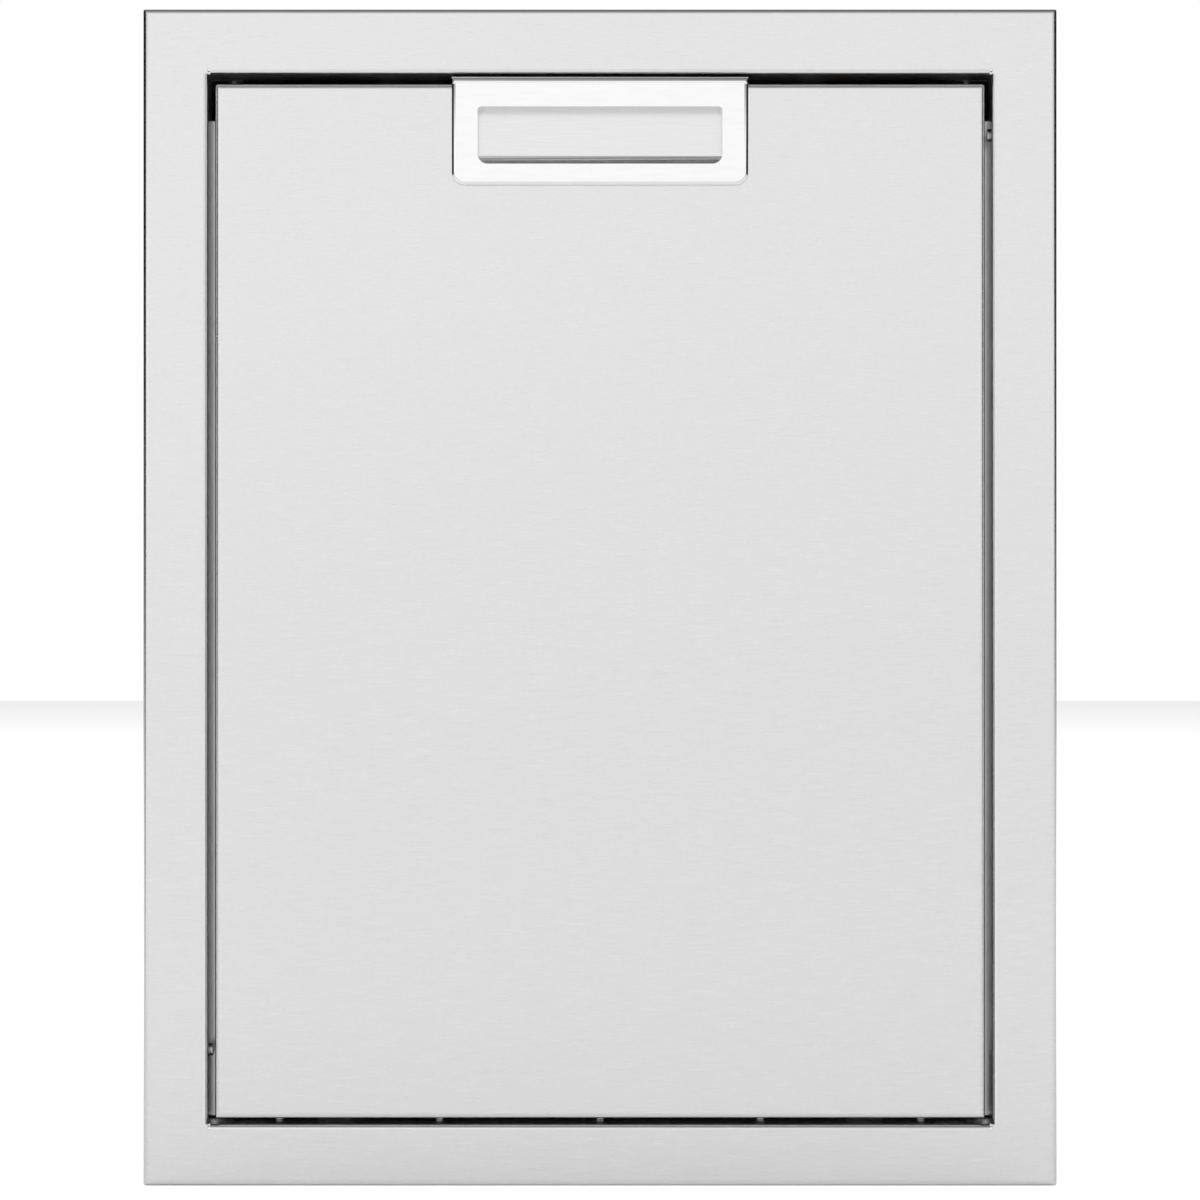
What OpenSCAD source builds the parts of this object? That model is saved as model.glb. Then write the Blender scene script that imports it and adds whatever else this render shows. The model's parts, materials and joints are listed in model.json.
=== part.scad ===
// Built-in trash compactor for a wall or island cut-out.
// A flanged stainless face frame carries a sheet-metal casing. A pull-out drawer with a flush
// front holds the bin, and a screw-driven ram above it presses the rubbish down.
// Millimetres. X is across, Y runs back into the wall, Z is up.
// The origin is the middle of the cut-out's sill, on the plane of the wall's face.

/* [Face frame] */
// Width over the flange
frame_w = 508; // [490:1:620]
// Height over the flange
frame_h = 654; // [640:1:800]
// Width of the rim on the top and both sides, up to the collar
rim_w = 36; // [25:0.5:45]
// Width of the rim along the bottom
rim_bottom = 34; // [25:0.5:45]
// How far the flange stands in front of the wall
rim_proud = 10; // [6:0.5:16]
// Depth of the collar behind the wall's face
collar_depth = 22; // [20:1:40]
// Sheet thickness of the frame and the casing
sheet = 1.5; // [1:0.1:2]
// Outer radius of the flange's folded edge
frame_bend = 3; // [2.2:0.2:5]

/* [Casing] */
// Depth of the casing behind the wall's face
casing_depth = 590; // [570:5:720]
// Thickness of the press's side plates
side_plate_t = 3; // [2:0.5:5]
// Width of the side plates' front flange
side_flange_w = 14; // [12:0.5:20]

/* [Drawer front] */
// Gap at each side of the front
gap_side = 3.9; // [3:0.1:9]
// Gap above the front
gap_top = 5.5; // [5:0.1:10]
// Gap below the front
gap_bottom = 3.3; // [3:0.1:9]
// Depth of the drawer front
front_depth = 22; // [20:0.5:24]
// Sheet thickness of the drawer front
front_sheet = 1.2; // [0.8:0.1:1.6]

/* [Handle] */
// Width of the polished plate
handle_w = 165; // [140:1:200]
// Height of the plate below the front's top edge
handle_h = 57; // [52:0.5:64]
// How far the plate rises over the top edge
handle_rise = 4; // [2:0.5:5]
// How far the plate stands proud of the front
handle_proud = 2.6; // [1.2:0.1:3]
// Width of the finger pocket
pocket_w = 136; // [110:1:150]
// Height of the finger pocket's mouth
pocket_h = 31.8; // [28:0.1:36]
// From the front's top edge down to the mouth
pocket_drop = 12.9; // [11:0.1:14]
// Depth of the finger pocket
pocket_depth = 17; // [14:0.5:18]

/* [Slides] */
// Closed length of each three-part slide
slide_len = 450; // [400:5:480]
// Height of each slide
slide_h = 35; // [33:0.5:45]
// Width of each slide
slide_w = 12.7; // [12.7:0.1:16]
// How far the drawer pulls out
drawer_travel = 440; // [380:5:460]

/* [Bin] */
// Room between the bin's rim and each side of the carriage
bin_gap = 7.8; // [5:0.1:14]
// Length over the bin's rim
bin_l = 372; // [350:1:450]
// Wall thickness of the bin
bin_wall = 2.5; // [2:0.1:4]

/* [Press] */
// Stroke of the ram; the bin fills the height that this leaves
press_travel = 175; // [140:1:210]
// How far the ram's sides stand inside the bin's rim
ram_gap = 26; // [22:1:40]
// Wall thickness of the ram's box
ram_wall = 3; // [2:0.5:5]
// Outside diameter of the power screw's thread
screw_d = 24; // [20:0.5:28]
// Diameter of the guide rods
rod_d = 16; // [12:0.5:20]
// Thickness of the drive plate
drive_t = 6; // [5:0.5:8]
// Room between the ram and the motor; the gears' module follows from it
motor_gap = 15; // [12:1:25]
// Teeth on the screw gear
screw_teeth = 72; // [72, 66]
// Teeth on the idler's wheel
wheel_teeth = 54; // [54, 52, 50]
// Teeth on both pinions
pinion_teeth = 12; // [12, 13, 14]
// Face width of every gear
gear_face = 10; // [8:0.5:10]
// Diameter of the motor
motor_d = 90; // [70:1:96]
// Length of the motor
motor_len = 150; // [110:1:170]

/* [Hidden] */
$fn = 48;
eps = 0.05;              // overshoot of a cut past the face it opens
slip = 0.2;              // clearance of parts that are screwed or dropped into each other
run = 0.05;              // radial running clearance of a shaft in its hole

// Opening of the face frame and the casing around it
opening_w = frame_w - 2 * rim_w;
opening_h = frame_h - rim_w - rim_bottom;
opening_z0 = 2 * sheet;
opening_z1 = opening_z0 + opening_h;
frame_z0 = opening_z0 - rim_bottom;
frame_z1 = frame_z0 + frame_h;
frame_corner = 1.3;
opening_r = sheet + 1.1;                // outer radius of the bend into the collar
open_x = opening_w / 2;
casing_in = open_x + sheet;             // inner face of the side panels
casing_x = casing_in + sheet;           // outer face of the side panels
casing_h = opening_z1 + 2 * sheet;
casing_y0 = 2;                          // the casing starts just behind the wall's face
lap_y0 = collar_depth + 1;              // where the casing's inner flanges start
fold_w = 18;                            // width of the casing's folded flanges
rivet_x = casing_in - 12;
rivet_y = [for (y = [42:104:casing_depth - 60]) y];
rivet_z = [for (z = [60:105:casing_h - 40]) z];
rivet_r = 2;
rear_in = casing_depth - sheet;
roof_in = casing_h - sheet;

// Screws through the collar
screw_y = collar_depth - 5;
side_screw_y = screw_y - 8;
side_screws = [[-1, opening_z0 + 40], [1, opening_z1 - 32.5]];   // one a side: [side, height]
mount_hole_z = [opening_z0 + 147, opening_z1 - 137];
mount_hole_r = 2.25;
sill_screw_pitch = 90;
collar_screw_r = 2;
collar_head_r = 3.6;
collar_head_h = 1.4;

// Side plates and slides
plate_in = casing_in - side_plate_t;    // inner face of the side plates
plate_y0 = collar_depth + 1;
slide_in = plate_in - slide_w;          // inner face of the slides
slide_z = opening_z0 + 2 + slide_h / 2; // middle height of the slides
slide_y0 = plate_y0 + 3;
flange_z0 = slide_z + slide_h / 2 + 1;
slide_sheet = 1.2;
ball_d = 3.2;
cage_len = 160;
cage_y0 = slide_y0 + 140;
cage_t = 0.8;
cage_balls = 8;

// Drawer front
front_x = open_x - gap_side;
front_z0 = opening_z0 + gap_bottom;
front_z1 = opening_z1 - gap_top;
front_y0 = -rim_proud;
front_y1 = front_y0 + front_depth;
front_top_r = 2.8;
front_side_r = 2.8;
liner_y0 = front_y1 - front_sheet;

// Handle
mouth_z1 = front_z1 - pocket_drop;
mouth_z0 = mouth_z1 - pocket_h;
pocket_t = 1;
mouth_r = 2.2;                          // radius of the mouth's upper corners
pocket_fillet = 7;
pocket_rise = 2.2;                      // how far the pocket's ceiling climbs to the back
climb_y0 = front_y0 + front_sheet + slip;
handle_corner = 7.3;
handle_roll = handle_proud - 0.3;       // radius of the plate's rolled sides and lower edge
handle_z0 = front_z1 - handle_h;
stud_x = (handle_w / 2 + pocket_w / 2) / 2;
stud_z = [mouth_z0 + 4, mouth_z1 - 4];
stud_r = 1.5;

// Controls in the drawer front's top edge
control_x = 155;
control_w = 70;
button_x = control_x - 20;
lock_x = control_x + 3;
lens_x = control_x + 25;
control_y = (front_y0 + front_y1) / 2;
control_half = 8;                       // half the control module's depth
control_z0 = front_z1 - 34;
control_top = front_z1 - front_sheet;
button_r = 5;
lock_r = 7;
lens_r = 2;
cap_drop = 0.4;                         // how far the caps sit below the top edge
press_depth = 2;                        // travel of the start button

// Carriage
carriage_t = 1.5;
carriage_x = slide_in;                  // outer face of the carriage's sides
carriage_in = carriage_x - carriage_t;
carriage_z0 = opening_z0 + 3;
carriage_z1 = 62;
carriage_y1 = front_y1 + bin_l + 28;
gusset_z = 300;
gusset_y = 130;
floor_z0 = carriage_z0 + 2;
floor_z1 = floor_z0 + carriage_t;
tab_w = 14;                             // front flange of the carriage's sides
tab_screw_z = [40, 130, 220, 285];

// Bin; its middle is also the middle of the ram and the power screw
bin_w = 2 * (carriage_in - bin_gap);
bin_y = front_y1 + 12 + bin_l / 2;
bin_taper = 10;                         // how far each wall leans in, top to bottom
bin_rim = 7;
bin_r = 34;
bin_z0 = floor_z1;
ring_t = 3;
ring_w = 12;
ram_w = bin_w - 2 * ram_gap;
ram_l = bin_l - 2 * ram_gap;

// Drive plate and gear levels, hung from the roof down
wheel_z0 = roof_in - 3.5 - gear_face;
gear_z0 = wheel_z0 - 2 - gear_face;
drive_z1 = gear_z0 - 2;
drive_z0 = drive_z1 - drive_t;
top_flange_w = 18;
drive_bolt_x = plate_in - top_flange_w / 2;
pressure_angle = 25;
backlash = 0.12;                        // taken off each flank at the pitch circle

// Power screw, from its thrust bearing down
bearing_h = 9;
bearing_r = 23;
journal_r = 10;
collar_z0 = drive_z0 - bearing_h - 4;
ram_top_t = 6;
ram_top_z1 = collar_z0 - 9;             // leaves room for the nut's flange
ram_top_z0 = ram_top_z1 - ram_top_t;
nut_h = 28;
nut_r = 19;
nut_flange_r = 29;
nut_flange_h = 7;
face_gap = 9.5;                         // between the bin's rim and the raised ram
face_t = 4;
screw_z0 = ram_top_z1 - nut_h + 10 - press_travel;
ram_z0 = screw_z0 - face_t - 5;
bin_z1 = ram_z0 - face_gap;
bin_h = bin_z1 - bin_z0;
bush_len = 22;
bush_r = rod_d / 2 + 6;
ram_r = 5;

// Gear centres, in line along Y; the module sets the motor clear of the ram
motor_flange = motor_d + 10;
motor_y = bin_y + ram_l / 2 + motor_gap + motor_flange / 2;
gear_m = 2 * (motor_y - bin_y) / (screw_teeth + wheel_teeth + 2 * pinion_teeth);
idler_y = bin_y + gear_m * (screw_teeth + pinion_teeth) / 2;
rod_x = gear_m * (screw_teeth / 2 + 1) + 16;    // the rods' nuts clear the screw gear
drive_y0 = 60;
drive_y1 = motor_y + 60;
drive_bolt_y = [for (i = [0:3]) drive_y0 + 30 + i * (drive_y1 - drive_y0 - 80) / 3];
plate_y1 = drive_y1 + 6;
idler_r = 8;
motor_shaft_r = 7;
motor_flange_t = 6;
terminal_w = 22;                        // the terminal box, at the motor's left
terminal_x = -motor_d / 2 - 16;
terminal_z0 = drive_z0 - motor_flange_t - 110;
terminal_z1 = drive_z0 - motor_flange_t - 50;
motor_bolt = motor_d / 2 - 7;

steel = [0.80, 0.80, 0.81];
zinc = [0.68, 0.70, 0.72];
dark = [0.13, 0.13, 0.14];

// ---------------------------------------------------------------- helpers

// A box between two corners.
module box(lo, hi) translate(lo) cube(hi - lo);

// Extrude a drawing along one axis: along_x takes (y, z), along_y takes (x, z), along_z (x, y).
module along_x(x0, x1) translate([x0, 0, 0]) rotate([90, 0, 90]) linear_extrude(x1 - x0) children();
module along_y(y0, y1) translate([0, y1, 0]) rotate([90, 0, 0]) linear_extrude(y1 - y0) children();
module along_z(z0, z1) translate([0, 0, z0]) linear_extrude(z1 - z0) children();

// A rectangle between two corners, with a radius for each corner: low-low, high-low, high-high, low-high.
module round_rect(lo, hi, r) {
    at = [lo, [hi[0], lo[1]], hi, [lo[0], hi[1]]];
    way = [[1, 1], [-1, 1], [-1, -1], [1, -1]];
    difference() {
        translate(lo) square(hi - lo);
        for (i = [0:3])
            if (r[i] > 0)
                difference() {
                    translate(at[i] + [way[i][0] < 0 ? -r[i] : -1, way[i][1] < 0 ? -r[i] : -1])
                        square(r[i] + 1);
                    translate(at[i] + way[i] * r[i]) circle(r[i]);
                }
    }
}

// A block whose front edges are folded over: radii for its sides, its top and bottom edges,
// and its outline's lower and upper corners.
module folded_block(lo, hi, side_r, top_r, bottom_r, low_r, high_r) {
    intersection() {
        along_z(lo[2], hi[2]) round_rect([lo[0], lo[1]], [hi[0], hi[1]], [side_r, side_r, 0, 0]);
        along_x(lo[0], hi[0]) round_rect([lo[1], lo[2]], [hi[1], hi[2]], [bottom_r, 0, 0, top_r]);
        along_y(lo[1], hi[1])
            round_rect([lo[0], lo[2]], [hi[0], hi[2]], [low_r, low_r, high_r, high_r]);
    }
}

// The same drawing on both sides of the object.
module both_sides() {
    children();
    mirror([1, 0, 0]) children();
}

// A cylinder along Y or X from a point.
module rod_y(p, r, len) translate(p) rotate([-90, 0, 0]) cylinder(h = len, r = r);
module rod_x(p, r, len) translate(p) rotate([0, 90, 0]) cylinder(h = len, r = r);

// A hexagon's prism, measured across its corners.
module hex(p, r, h) translate(p) cylinder(h = h, r = r, $fn = 6);

// ---------------------------------------------------------------- casing

module face_frame() color(steel) difference() {
    union() {
        difference() {
            folded_block([-frame_w / 2, -rim_proud, frame_z0], [frame_w / 2, 0, frame_z1],
                         frame_bend, frame_bend, frame_bend, frame_corner, frame_corner);
            folded_block([-frame_w / 2 + sheet, -rim_proud + sheet, frame_z0 + sheet],
                         [frame_w / 2 - sheet, 1, frame_z1 - sheet],
                         frame_bend - sheet, frame_bend - sheet, frame_bend - sheet, 0, 0);
        }
        box([-open_x - sheet, -rim_proud + sheet / 2, opening_z0 - sheet],
            [open_x + sheet, collar_depth, opening_z1 + sheet]);
    }
    box([-open_x, -rim_proud - 1, opening_z0], [open_x, collar_depth + 1, opening_z1]);
    opening_bends();
    bend_reliefs();
    collar_holes();
}

// The rolled inner edge of the flange, where it turns into the collar.
module opening_bends() {
    module cut_away() {
        difference() {
            square(opening_r + eps);
            translate([opening_r + eps, opening_r + eps]) circle(opening_r);
        }
    }
    both_sides() translate([open_x - eps, 0, 0]) along_z(opening_z0, opening_z1)
        translate([0, -rim_proud - eps]) cut_away();
    along_x(-open_x, open_x) translate([-rim_proud - eps, opening_z1 - eps]) cut_away();
    along_x(-open_x, open_x) translate([-rim_proud - eps, opening_z0 + eps]) mirror([0, 1]) cut_away();
}

// Small slots at the opening's corners, that let the sheet fold both ways.
module bend_reliefs() {
    slot_w = 1.2;
    slot_h = opening_r + 0.1;
    both_sides()
        for (z = [opening_z0 - slot_h, opening_z1 - eps])
            box([open_x - slot_w, -rim_proud - 1, z],
                [open_x + eps, -rim_proud + 2 * sheet, z + slot_h + eps]);
}

// Places its children at the collar's side screws, facing into the opening. A mirrored part
// asks for side -1, so that its holes end up on the right side.
module at_side_screws(side = 1)
    for (at = side_screws)
        translate([side * at[0] * open_x, side_screw_y, at[1]]) rotate([0, -side * at[0] * 90, 0]) children();

// Holes through the collar and the casing behind it: two fixing holes and one screw a side,
// and a row of screws along the sill.
module collar_holes(side = 1) {
    both_sides()
        for (z = mount_hole_z) rod_x([open_x - 1, screw_y, z], mount_hole_r, 2 * sheet + 2);
    at_side_screws(side) translate([0, 0, -2 * sheet - 1]) cylinder(h = 2 * sheet + 2, r = collar_screw_r);
    for (i = [-2:2])
        translate([i * sill_screw_pitch, screw_y, -1]) cylinder(h = 2 * sheet + 2, r = collar_screw_r);
}

module wall_gasket() color(dark) {
    inset = sheet + 2;
    width = 14;
    difference() {
        box([-frame_w / 2 + inset, -rim_proud + sheet, frame_z0 + inset],
            [frame_w / 2 - inset, 0, frame_z1 - inset]);
        box([-frame_w / 2 + inset + width, -rim_proud, frame_z0 + inset + width],
            [frame_w / 2 - inset - width, 1, frame_z1 - inset - width]);
    }
}

// One pan-head screw along +Z, with a hexagon socket in its head. Its seat is at z = 0.
module pan_screw(r, head_r, head_h, len) {
    difference() {
        union() {
            cylinder(h = head_h, r = head_r);
            translate([0, 0, -len]) cylinder(h = len + eps, r = r);
        }
        hex([0, 0, head_h * 0.4], head_r * 0.45, head_h);
    }
}

module collar_screws() color(zinc) {
    shank = 2 * sheet;
    fit = collar_screw_r - run;
    at_side_screws() pan_screw(fit, collar_head_r, collar_head_h, shank);
    for (i = [-2:2])
        translate([i * sill_screw_pitch, screw_y, opening_z0])
            pan_screw(fit, collar_head_r, collar_head_h, shank);
}

// Blind rivets close the casing along its roof and its back: a head outside, a tail inside.
module at_rivets() both_sides() {
    for (y = rivet_y) translate([rivet_x, y, casing_h]) children();
    for (z = rivet_z) translate([rivet_x, casing_depth, z]) rotate([-90, 0, 0]) children();
}

module rivet_holes() at_rivets() translate([0, 0, -3 * sheet]) cylinder(h = 4 * sheet, r = rivet_r + 0.1);

module casing_rivets() color(zinc) at_rivets() {
    cylinder(h = 1.1, r = rivet_r + 1.3);
    translate([0, 0, -2 * sheet - 2.6]) cylinder(h = 2.6, r = rivet_r + 0.8);
    translate([0, 0, -2 * sheet - eps]) cylinder(h = 2 * sheet + 2 * eps, r = rivet_r);
}

module side_panel(side) color(zinc) difference() {
    union() {
        box([casing_in, casing_y0, 0], [casing_x, casing_depth, casing_h]);
        for (z = [sheet, roof_in - sheet])
            box([casing_in - fold_w, lap_y0, z], [casing_in + eps, rear_in, z + sheet]);
        box([casing_in - fold_w, rear_in - sheet, sheet], [casing_in + eps, rear_in, roof_in]);
    }
    collar_holes(side);
    rivet_holes();
}

module top_panel() color(zinc) difference() {
    box([-casing_in, casing_y0, roof_in], [casing_in, casing_depth, casing_h]);
    rivet_holes();
}

module base_pan() color(zinc) difference() {
    box([-casing_in, casing_y0, 0], [casing_in, casing_depth, sheet]);
    collar_holes();
}

inlet_x = 120;
inlet_z = 90;
inlet_w = 27;
inlet_h = 20;
louvre_w = 120;
louvre_pitch = 14;
louvre_count = 9;

module rear_panel() color(zinc) difference() {
    box([-casing_in, rear_in, sheet], [casing_in, casing_depth, roof_in]);
    box([inlet_x - inlet_w / 2, rear_in - 1, inlet_z - inlet_h / 2],
        [inlet_x + inlet_w / 2, casing_depth + 1, inlet_z + inlet_h / 2]);
    for (i = [0:louvre_count - 1])
        along_y(rear_in - 1, casing_depth + 1)
            translate([-louvre_w / 2, roof_in - 90 - i * louvre_pitch])
                round_rect([0, 0], [louvre_w, 5], [2.4, 2.4, 2.4, 2.4]);
    rivet_holes();
}

// ---------------------------------------------------------------- press frame

module side_plate() color(zinc) difference() {
    union() {
        box([plate_in, plate_y0, opening_z0 + sheet], [casing_in, plate_y1, drive_z1 + side_plate_t]);
        box([casing_in - side_flange_w, plate_y0, flange_z0],
            [plate_in + eps, plate_y0 + side_plate_t, drive_z1 + side_plate_t]);
        box([plate_in - top_flange_w, drive_y0, drive_z1],
            [plate_in + eps, drive_y1, drive_z1 + side_plate_t]);
    }
    for (y = drive_bolt_y) translate([drive_bolt_x, y, drive_z1 - 1]) cylinder(h = side_plate_t + 2, r = 4.2);
}

// Bumpers and magnets sit on the side plates' flanges, hidden behind the drawer front.
landing_x0 = casing_in - side_flange_w + 0.5;
landing_x1 = front_x - 0.8;
magnet_z = opening_z1 - 120;
strike_t = 1;

module door_bumpers() color(dark) both_sides()
    for (z = [flange_z0 + 60, drive_z1 - 40])
        rod_y([(landing_x0 + landing_x1) / 2, front_y1 + slip, z], (landing_x1 - landing_x0) / 2,
              plate_y0 - front_y1 - slip);

module catch_magnets() color(dark) both_sides()
    box([landing_x0, front_y1 + strike_t + slip, magnet_z], [landing_x1, plate_y0, magnet_z + 40]);

module load_rails() color([0.9, 0.9, 0.86]) both_sides()
    box([140, plate_y0 + 20, sheet], [160, carriage_y1 - 20, floor_z0 - 1]);

module drive_plate() color(zinc) difference() {
    box([-plate_in, drive_y0, drive_z0], [plate_in, drive_y1, drive_z1]);
    translate([0, bin_y, drive_z0 - 1]) cylinder(h = drive_t + 2, r = journal_r + 0.5);
    translate([0, idler_y, drive_z0 - 1]) cylinder(h = drive_t + 2, r = idler_r + run);
    translate([0, motor_y, drive_z0 - 1]) cylinder(h = drive_t + 2, r = motor_shaft_r + 3);
    for (x = [-rod_x, rod_x])
        translate([x, bin_y, drive_z0 - 1]) cylinder(h = drive_t + 2, r = rod_d / 2 - 1);
    both_sides()
        for (y = drive_bolt_y) translate([drive_bolt_x, y, drive_z0 - 1]) cylinder(h = drive_t + 2, r = 4.2);
    for (i = [-1, 1], j = [-1, 1])
        translate([i * motor_bolt, motor_y + j * motor_bolt, drive_z0 - 1])
            cylinder(h = drive_t + 2, r = 3.2);
}

module drive_bolts() color(zinc) both_sides()
    for (y = drive_bolt_y) translate([drive_bolt_x, y, 0]) {
        hex([0, 0, drive_z1 + side_plate_t], 7.2, 5);
        translate([0, 0, drive_z0 - 8]) cylinder(h = drive_t + side_plate_t + 8 + eps, r = 4);
        hex([0, 0, drive_z0 - 6.5], 7.2, 6.5);
    }

module guide_rods() color(steel)
    for (x = [-rod_x, rod_x]) translate([x, bin_y, 0]) {
        translate([0, 0, screw_z0]) cylinder(h = drive_z0 - screw_z0, r = rod_d / 2);
        translate([0, 0, drive_z0 - eps]) cylinder(h = drive_t + 10, r = rod_d / 2 - 1);
        translate([0, 0, drive_z0 - 6]) cylinder(h = 6, r = rod_d / 2 + 3);
    }

module rod_nuts() color(zinc)
    for (x = [-rod_x, rod_x]) translate([x, bin_y, drive_z1]) difference() {
        cylinder(h = 8, r = 12.5, $fn = 6);
        translate([0, 0, -1]) cylinder(h = 10, r = rod_d / 2 - 1);
    }

module thrust_bearing() color(steel) translate([0, bin_y, drive_z0 - bearing_h]) difference() {
    cylinder(h = bearing_h, r = bearing_r);
    translate([0, 0, -1]) cylinder(h = bearing_h + 2, r = journal_r + run);
    difference() {
        translate([0, 0, 3]) cylinder(h = 3, r = bearing_r + 1);
        translate([0, 0, 2]) cylinder(h = 5, r = bearing_r - 2);
    }
}

module idler_shaft() color(steel) translate([0, idler_y, 0]) {
    translate([0, 0, drive_z0 - 6]) cylinder(h = 6, r = idler_r + 6);
    translate([0, 0, drive_z0 - eps]) cylinder(h = roof_in - 1.5 - drive_z0, r = idler_r);
    translate([0, 0, drive_z1]) cylinder(h = 1.9, r = idler_r + 4);
    translate([0, 0, wheel_z0 + gear_face + 0.4]) cylinder(h = 1.2, r = idler_r + 2.5);
}

module motor_body() color([0.22, 0.23, 0.25]) {
    z1 = drive_z0 - motor_flange_t;
    difference() {
        union() {
            box([-motor_flange / 2, motor_y - motor_flange / 2, z1],
                [motor_flange / 2, motor_y + motor_flange / 2, drive_z0]);
            translate([0, motor_y, z1 - motor_len + 18]) cylinder(h = motor_len - 18 + eps, r = motor_d / 2);
            translate([0, motor_y, z1 - motor_len]) cylinder(h = 18 + eps, r = motor_d / 2 - 6);
            box([terminal_x, motor_y - terminal_w, terminal_z0],
                [-motor_d / 2 + 12, motor_y + terminal_w, terminal_z1]);
            for (a = [0:15:345])
                translate([0, motor_y, z1 - 60]) rotate(a)
                    box([motor_d / 2 - 2, -1, -60], [motor_d / 2 + 3, 1, 50]);
        }
        translate([0, motor_y, z1 - 20]) cylinder(h = 40, r = motor_shaft_r + run);
        for (i = [-1, 1], j = [-1, 1])
            translate([i * motor_bolt, motor_y + j * motor_bolt, z1 - 1])
                cylinder(h = motor_flange_t + 2, r = 3.2);
    }
}

module motor_bolts() color(zinc)
    for (i = [-1, 1], j = [-1, 1]) translate([i * motor_bolt, motor_y + j * motor_bolt, 0]) {
        hex([0, 0, drive_z1], 5.8, 4);
        translate([0, 0, drive_z0 - motor_flange_t]) cylinder(h = drive_t + motor_flange_t + eps, r = 3);
    }

module limit_switch() color(dark) translate([95, bin_y + 110, 0]) {
    box([0, 0, ram_top_z1 + 6], [26, 12, drive_z0]);
    translate([13, 6, ram_top_z1 + 1]) cylinder(h = 6, r = 2);
}

module control_box() color([0.86, 0.86, 0.84]) {
    lo = [-190, rear_in - 52, 130];
    hi = [-80, rear_in, 290];
    difference() {
        union() {
            box(lo, hi);
            box([lo[0] - 8, hi[1] - 2, lo[2] + 20], [hi[0] + 8, hi[1], lo[2] + 40]);
            box([lo[0] - 8, hi[1] - 2, hi[2] - 40], [hi[0] + 8, hi[1], hi[2] - 20]);
        }
        box([lo[0] + 6, lo[1] - 1, lo[2] + 6], [hi[0] - 6, lo[1] + 1.5, hi[2] - 6]);
    }
}

module power_inlet() color(dark) difference() {
    union() {
        box([inlet_x - inlet_w / 2 + slip, casing_depth - 24, inlet_z - inlet_h / 2 + slip],
            [inlet_x + inlet_w / 2 - slip, casing_depth + eps, inlet_z + inlet_h / 2 - slip]);
        along_y(casing_depth, casing_depth + 2.5)
            round_rect([inlet_x - 25, inlet_z - 14], [inlet_x + 25, inlet_z + 14], [4, 4, 4, 4]);
    }
    box([inlet_x - inlet_w / 2 + 2, casing_depth - 16, inlet_z - inlet_h / 2 + 2],
        [inlet_x + inlet_w / 2 - 2, casing_depth + 5, inlet_z + inlet_h / 2 - 2]);
}

// The cable from the control box up beside the rear panel and across to the terminal box.
module motor_cable() color(dark) {
    r = 4;
    x = -135;
    back = rear_in - 18;
    level = (terminal_z0 + terminal_z1) / 2;
    translate([x, back, 290]) cylinder(h = level - 290, r = r);
    translate([x, back, level]) sphere(r + eps);
    rod_y([x, motor_y, level], r, back - motor_y);
    translate([x, motor_y, level]) sphere(r + eps);
    rod_x([x, motor_y, level], r, terminal_x - x);
}

// ---------------------------------------------------------------- drawer front

// The handle's studs and the pocket pass through these holes.
module handle_cutout() {
    box([-pocket_w / 2 - pocket_t - slip, front_y0 - 1, mouth_z0 - pocket_t - slip],
        [pocket_w / 2 + pocket_t + slip, front_y0 + front_sheet + 1, mouth_z1 + pocket_t + slip]);
    both_sides() for (z = stud_z) rod_y([stud_x, front_y0 - 1, z], stud_r + slip, front_sheet + 2);
}

// The caps of the control module come up through these holes.
module control_holes() {
    for (c = [[button_x, button_r], [lock_x, lock_r], [lens_x, lens_r]])
        translate([c[0], control_y, control_top - 1]) cylinder(h = front_sheet + 2, r = c[1] + slip);
}

module front_panel() color(steel) difference() {
    folded_block([-front_x, front_y0, front_z0], [front_x, front_y1, front_z1],
                 front_side_r, front_top_r, front_side_r, 0.8, 3);
    folded_block([-front_x + front_sheet, front_y0 + front_sheet, front_z0 + front_sheet],
                 [front_x - front_sheet, front_y1 + 1, front_z1 - front_sheet],
                 front_side_r - front_sheet, front_top_r - front_sheet, front_side_r - front_sheet, 0, 1.8);
    handle_cutout();
    control_holes();
}

module tab_screw_holes(r) both_sides()
    for (z = tab_screw_z) rod_y([carriage_in - tab_w / 2, liner_y0 - 1, z], r, 8);

module front_liner() color(zinc) {
    inset = front_sheet + slip;
    difference() {
        along_y(liner_y0, front_y1)
            round_rect([-front_x + inset, front_z0 + inset], [front_x - inset, front_z1 - inset],
                       [0, 0, 2, 2]);
        tab_screw_holes(2.2);
    }
}

// The mouth of the finger pocket: small radii above, larger ones below.
module mouth(grow) {
    round_rect([-pocket_w / 2 - grow, mouth_z0 - grow], [pocket_w / 2 + grow, mouth_z1 + grow],
               [5.5, 5.5, mouth_r, mouth_r]);
}

// The handle's plate: its sides, lower corners and lower edge are rolled back to the front.
module rolled_plate(y0) {
    x = handle_w / 2;
    in_x = x - handle_corner;
    in_z = handle_z0 + handle_corner;
    top = front_z1 + 1;
    r = handle_roll;
    along_x(-in_x, in_x) round_rect([y0, handle_z0], [front_y0, top], [r, 0, 0, 0]);
    along_z(in_z, top) round_rect([-x, y0], [x, front_y0], [r, r, 0, 0]);
    both_sides() translate([in_x, front_y0, in_z]) rotate([90, 0, 0])
        rotate_extrude() round_rect([0, 0], [handle_corner, handle_proud], [0, 0, r, 0]);
}

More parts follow.
